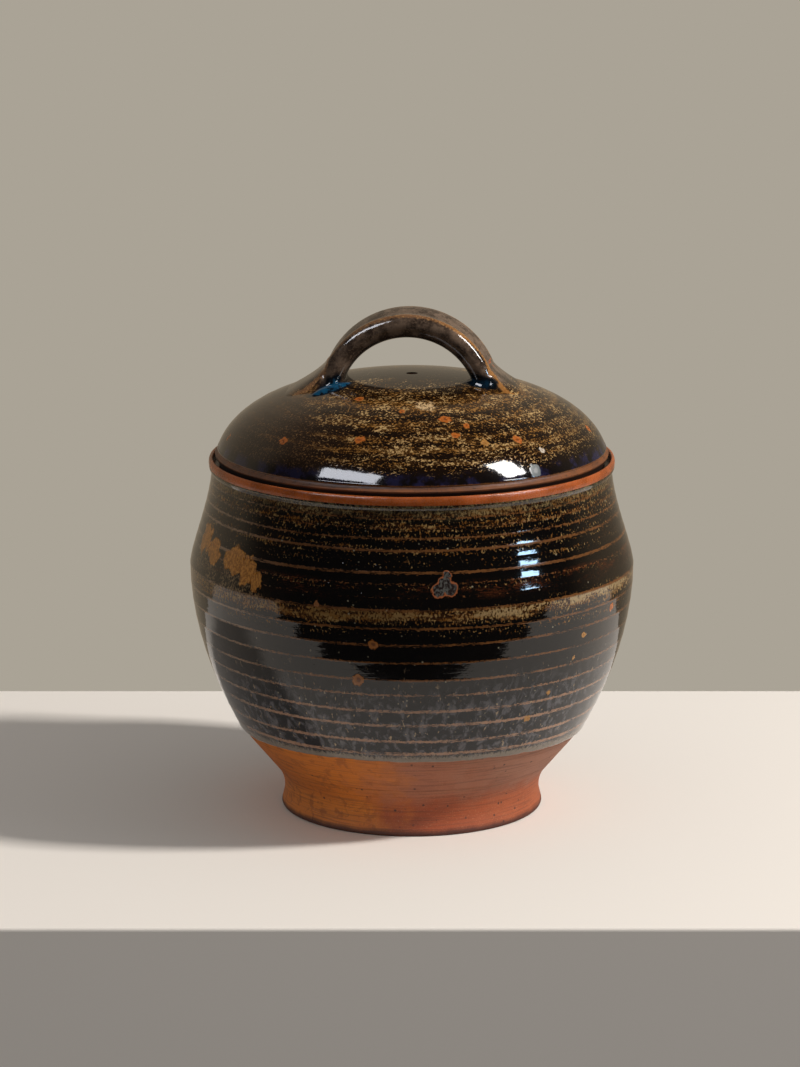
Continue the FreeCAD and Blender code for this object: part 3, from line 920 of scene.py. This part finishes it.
def lidColour(tree, place):
    # the lid's brown glaze, shared by the handle so that they run into each other
    height = tree.part(place, 2)
    across = tree.part(place, 0)
    dash = tree.cloud(tree.stretched(place, (1, 1, 1.8)), 1.25, 2, 0.6, 0.7)
    middling = tree.cloud(tree.stretched(place, (0.5, 0.5, 1.3)), 5, 3, 0.6)
    streak = tree.cloud(tree.stretched(place, (0.11, 0.11, 1.6)), 2.2, 3, 0.6)
    wash = tree.cloud(place, 24, 3, 0.6)
    # the left third is painted a hazier, lighter brown with fewer dashes: partly glaze colour, partly painted
    # reflection
    left = tree.rise(across + (wash - 0.5) * 50, -22, -60)
    rows = tree.levels(height, [
        (172, 0.0), (176, 0.1), (179, 0.3), (182, 0.65), (184, 0.4), (186.4, 0.95), (188, 0.45), (190.5, 0.8),
        (192.5, 0.3), (195.5, 0.85), (198, 0.45), (200.5, 0.95), (203.5, 0.55), (205.5, 0.35), (207, 0.15)])
    density = rows + (middling - 0.5) * 1.3 + (streak - 0.5) * 1.7 - left * 0.35
    mist = tree.rise(density + (dash - 0.5) * 1.5, 0.3, 1.1)
    dashes = tree.rise(dash + (density - 0.5) * 0.15, 0.57, 0.635) * tree.rise(rows, 0.0, 0.3)
    dashTone = tree.graded(middling, 0.44, 0.6, tone(142, 100, 48), tone(186, 154, 104))
    dashTone = tree.layers(dashTone, [
        (left, tone(112, 80, 48)), (tree.rise(across, 50, 84), tone(134, 108, 66))])
    grains = tree.rise(tree.cloud(place, 0.9, 1, 0.5), 0.58, 0.66) * left
    colour = tree.layers(tone(22, 12, 6), [
        (left, tone(42, 28, 18)),
        (mist * 0.6, tone(92, 58, 20)),
        (dashes * (0.88 - left * 0.3), dashTone),
        (grains * 0.5, tone(104, 78, 52))])
    return colour, dash, dashes


def poolShade(tree, colour, place):
    # blue glaze gathered in the near corners of the handle's roots, dark round its edge
    moved = tree.shaken(place, 4, 1.4)
    veins = tree.cloud(place, 1.6, 3, 0.6)
    for pool, blue in zip(pools, (tone(15, 64, 92), tone(10, 40, 60))):
        gathered = tree.largest([tree.near(moved, spot + Vector((0, 0, 0.8)), width * 2.4, 0)
                                    for spot, width in poolPlaces(pool, 5)])
        core = tree.rise(gathered + (veins - 0.5) * 0.7, 0.5, 0.85)
        colour = tree.layers(colour, [(tree.rise(gathered, 0.1, 0.4), tone(9, 14, 20)), (core, blue)])
    return colour


def lidGlazePaint(tree):
    place = tree.place()
    height = tree.part(place, 2)
    colour, dash, dashes = lidColour(tree, place)
    cream = tree.near(tree.shaken(place, 3.5, 5), onSurface(clayDome, 6.9, 200.9), 5.5, 3.5)
    wash = tree.cloud(place, 9, 3, 0.6)
    pooled = tree.rise(height + (dash - 0.5) * 5, 178.5, 175)
    violet = tree.graded(wash, 0.44, 0.6, tone(14, 9, 9), tone(30, 29, 56))
    edge = tree.rise(height + (dash - 0.5) * 0.8, 172.8, 172.2)
    colour = tree.layers(colour, [
        (cream * tree.rise(dash, 0.4, 0.52) * 0.85, tone(204, 172, 128)),
        (pooled * 0.9, violet),
        (edge * 0.85, tone(116, 72, 34))])
    colour = poolShade(tree, colour, place)
    colour, spots = spotted(tree, colour, place, lidSpots, clayDome)
    bump = tree.bumped(tree.cloud(place, 3, 2, 0.5) * 0.35 + spots * 0.35 + dashes * 0.05, 0.35, 0.3)
    return tree.shade(Base_Color=colour, Roughness=0.07 + spots * 0.2 + dashes * 0.07, Normal=bump, IOR=1.5)


def handleGlazePaint(tree):
    place = tree.place()
    across = tree.part(place, 0)
    height = tree.part(place, 2)
    dome = lidColour(tree, place)[0]
    fine = tree.cloud(place, 0.9, 2, 0.6)
    warm = tree.cloud(place, 6, 3, 0.6)
    # the inner face of the arch is painted near-black: painted shade under the strap
    inside = tree.near(place, (handle["offset"], 0, archHeight), 36.5, 33)
    # the strap is a lighter grey-brown than the dome: partly glaze colour, partly painted reflection of the
    # window on its near face
    brown = tree.graded(warm, 0.35, 0.65, tone(52, 41, 34), tone(108, 90, 76))
    brown = tree.layers(brown, [
        (tree.rise(fine, 0.52, 0.66) * 0.4, tone(128, 106, 88)), (inside * 0.8, tone(20, 14, 12))])
    lifted = tree.rise(height + (warm - 0.5) * 4, 202, 208)
    worn = tree.rise(tree.attribute("wear") + (warm - 0.5) * 0.8 + (fine - 0.5) * 0.7, 0.45, 0.8)
    edgeTone = tree.graded(across, 0, 30, tone(122, 86, 58), tone(148, 98, 46))
    edgeTone = tree.blend(tree.rise(fine, 0.54, 0.66) * 0.6, edgeTone, tone(184, 142, 88))
    colour = tree.layers(dome, [(lifted, brown), (worn * 0.85, edgeTone)])
    colour = poolShade(tree, colour, place)
    bump = tree.bumped(tree.cloud(place, 2.4, 2, 0.5) + fine * 0.1, 0.25, 0.3)
    return tree.shade(Base_Color=colour, Roughness=0.08 + worn * 0.14, Normal=bump, IOR=1.5)


def linerPaint(tree):
    place = tree.place()
    mottle = tree.cloud(place, 9, 4, 0.6)
    fine = tree.cloud(place, 0.9, 2, 0.6)
    colour = tree.graded(mottle, 0.3, 0.7, tone(46, 34, 28), tone(84, 60, 44))
    colour = tree.blend(tree.rise(fine, 0.6, 0.7) * 0.5, colour, tone(150, 118, 82))
    bump = tree.bumped(mottle + fine * 0.1, 0.3, 0.3)
    return tree.shade(Base_Color=colour, Roughness=0.14, Normal=bump, IOR=1.5)


# Building the pieces

print("materials")
clay = material("bareClay", bareClay)
edgeClay = material("lidClay", lidClay)
potGlazeMaterial = material("darkGlaze", darkGlaze)
lidGlazeMaterial = material("lidGlaze", lidGlazePaint)
handleGlazeMaterial = material("handleGlaze", handleGlazePaint)
liner = material("liner", linerPaint)

print("vessel")
vessel = spun(vesselOutline(), 192)
pressIn(vessel)
finished(vessel, "potBody", "pot", clay, ["pot_body"])

foot = spun(footOutline(), 192)
pressIn(foot)
finished(foot, "footRing", "pot", clay, ["foot_ring"])

potSkin = spun(potGlazeOutline(), 288)
markVertices(potSkin, "crest", lambda place: nearCrest(place.z / mm, potCoat["lineWidth"]))
markVertices(potSkin, "course", lambda place: place.z / mm)
pressIn(potSkin)
raggedEdge(potSkin)
finished(potSkin, "potGlaze", "pot", potGlazeMaterial, ["pot_glaze"], 60)

linerFace = innerWall(wall["liner"])
linerRings = 0.18 * np.sin(linerFace[:, 1] * 2 * math.pi / 8)
linerFace[:, 0] -= 0.2 + linerRings * np.clip((linerFace[:, 0] - 50) / 20, 0, 1)
potLining = spun(np.concatenate([innerWall(-0.2), [(0, 18.8), (0, 19.6)], linerFace[::-1]]), 128)
pressIn(potLining)
finished(potLining, "potLiner", "pot", liner, ["pot_liner"])

print("lid")
dome = spun(lidShellOutline(), 192)
pressIn(dome)
finished(dome, "lidShell", "lid", edgeClay, ["lid_shell"])

flange = spun(flangeOutline(), 160)
finished(flange, "lidFlange", "lid", edgeClay, ["lid_flange"], 30)

lidSkin = spun(lidGlazeOutline(), 288)
pressIn(lidSkin)
finished(lidSkin, "lidGlaze", "lid", lidGlazeMaterial, ["lid_glaze"], 60)

lidLining = spun(lidLinerOutline(), 128)
pressIn(lidLining)
finished(lidLining, "lidLiner", "lid", liner, ["lid_liner"])

print("handle")
grip = remeshed(handleMesh(), handle["voxel"], handle["smoothing"])
blendedIn(grip)
wearAttribute(grip)
placed(grip, "handleGlaze", "lid", handleGlazeMaterial, ["handle_glaze"], 60)
for name in ("handle_strap", "handle_root_left", "handle_root_right"):
    nodes[name].data.materials.clear()
    nodes[name].data.materials.append(clay)


# Stage, light and camera

stage = {"front": -0.195, "back": 0.2, "halfWidth": 0.6, "depth": 1.2, "bevel": 0.0015}


def plinth():
    mesh = bmesh.new()
    bmesh.ops.create_cube(mesh, size=1)
    size = (2 * stage["halfWidth"], stage["back"] - stage["front"], stage["depth"])
    middle = (0, (stage["front"] + stage["back"]) / 2, -stage["depth"] / 2)
    bmesh.ops.scale(mesh, vec=size, verts=mesh.verts[:])
    bmesh.ops.translate(mesh, vec=middle, verts=mesh.verts[:])
    bmesh.ops.bevel(mesh, geom=mesh.edges[:], offset=stage["bevel"], offset_type="OFFSET", segments=3,
                    profile=0.5, affect="EDGES", material=-1)
    data = meshData(mesh, "floor")
    data.materials.append(material("floorPaint", lambda tree: tree.shade(
        Base_Color=tone(234, 227, 219), Roughness=0.8)))
    floor = added("floor", data)


# a matt lamp lights the clay and the floor; the others show only as reflections
lamps = [
    {"name": "key", "towards": (0.766, -0.17, 0.62), "away": 3.2, "size": (0.32, 0.32), "power": 114.0,
     "colour": (1.0, 0.97, 0.93), "matt": True},
    {"name": "keyWindow", "towards": (0.715, -0.3, 0.63), "away": 2.4, "size": (0.56, 0.95), "power": 62.0,
     "colour": (1.0, 0.98, 0.95), "matt": False},
    {"name": "leftWindow", "towards": (-0.53, -0.61, 0.63), "away": 1.6, "size": (0.9, 0.38), "power": 14.0,
     "colour": (0.9, 0.92, 1.0), "matt": False},
    {"name": "rightWindow", "towards": (0.87, -0.42, 0.29), "away": 1.7, "size": (0.3, 0.15), "power": 4.6,
     "colour": (0.5, 0.75, 1.0), "matt": False},
]


def light(lamp):
    data = bpy.data.lights.new(lamp["name"], "AREA")
    data.shape = "RECTANGLE"
    data.size, data.size_y = lamp["size"]
    data.energy = lamp["power"]
    data.color = lamp["colour"]
    holder = added(lamp["name"], data)
    target = Vector((0, 0, 0.15))
    holder.location = target + Vector(lamp["towards"]).normalized() * lamp["away"]
    holder.rotation_euler = (target - holder.location).to_track_quat("-Z", "Y").to_euler()
    holder.visible_diffuse = lamp["matt"]
    holder.visible_glossy = not lamp["matt"]
    holder.visible_camera = False


def surroundings():
    # matt surfaces see an even light from above; the glaze mirrors a pale wall behind and a dim room
    world = bpy.data.worlds.new("room")
    world.use_nodes = True
    bpy.context.scene.world = world
    tree = Tree(world.node_tree)
    direction = tree.add("ShaderNodeTexCoord", output=0)
    lift = tree.part(direction, 2)
    behind = tree.rise(tree.part(direction, 1), -0.05, 0.4)
    shaded = 1 - 0.45 * tree.rise(tree.part(direction, 0), 0.1, 0.8)
    path = tree.data.nodes.new("ShaderNodeLightPath")
    camera = Signal(tree, path.outputs["Is Camera Ray"])
    glossy = Signal(tree, path.outputs["Is Glossy Ray"])
    wallShare = behind * shaded * tree.rise(lift, 0.9, 0.5) * tree.rise(lift, -0.7, -0.45)
    seen = tree.blend(wallShare, (0.028, 0.026, 0.026, 1), tone(148, 135, 116))
    lighting = tree.blend(tree.rise(lift, -0.4, 0.4), (0.05, 0.05, 0.05, 1), (0.345, 0.335, 0.325, 1))
    shown = tree.blend(camera, tree.blend(glossy, lighting, seen), tone(170, 163, 150))
    tree.finish(tree.add("ShaderNodeBackground", {}, {0: shown, 1: 1.0}), "ShaderNodeOutputWorld")


view = {"place": (-0.0056, -1.839, 0.547), "pitch": 12.77, "focal": 4000.0, "frameHeight": 1067.0,
        "sensor": 36.0}


def camera():
    data = bpy.data.cameras.new("camera")
    data.sensor_width = view["sensor"]
    data.sensor_fit = "AUTO"
    data.lens = view["focal"] / view["frameHeight"] * view["sensor"]
    data.clip_end = 50
    holder = added("camera", data)
    holder.location = view["place"]
    holder.rotation_euler = (math.radians(90 - view["pitch"]), 0, 0)
    bpy.context.scene.camera = holder


print("stage and camera")
plinth()
for lamp in lamps:
    light(lamp)
surroundings()
camera()
bpy.context.scene.view_settings.view_transform = "Standard"
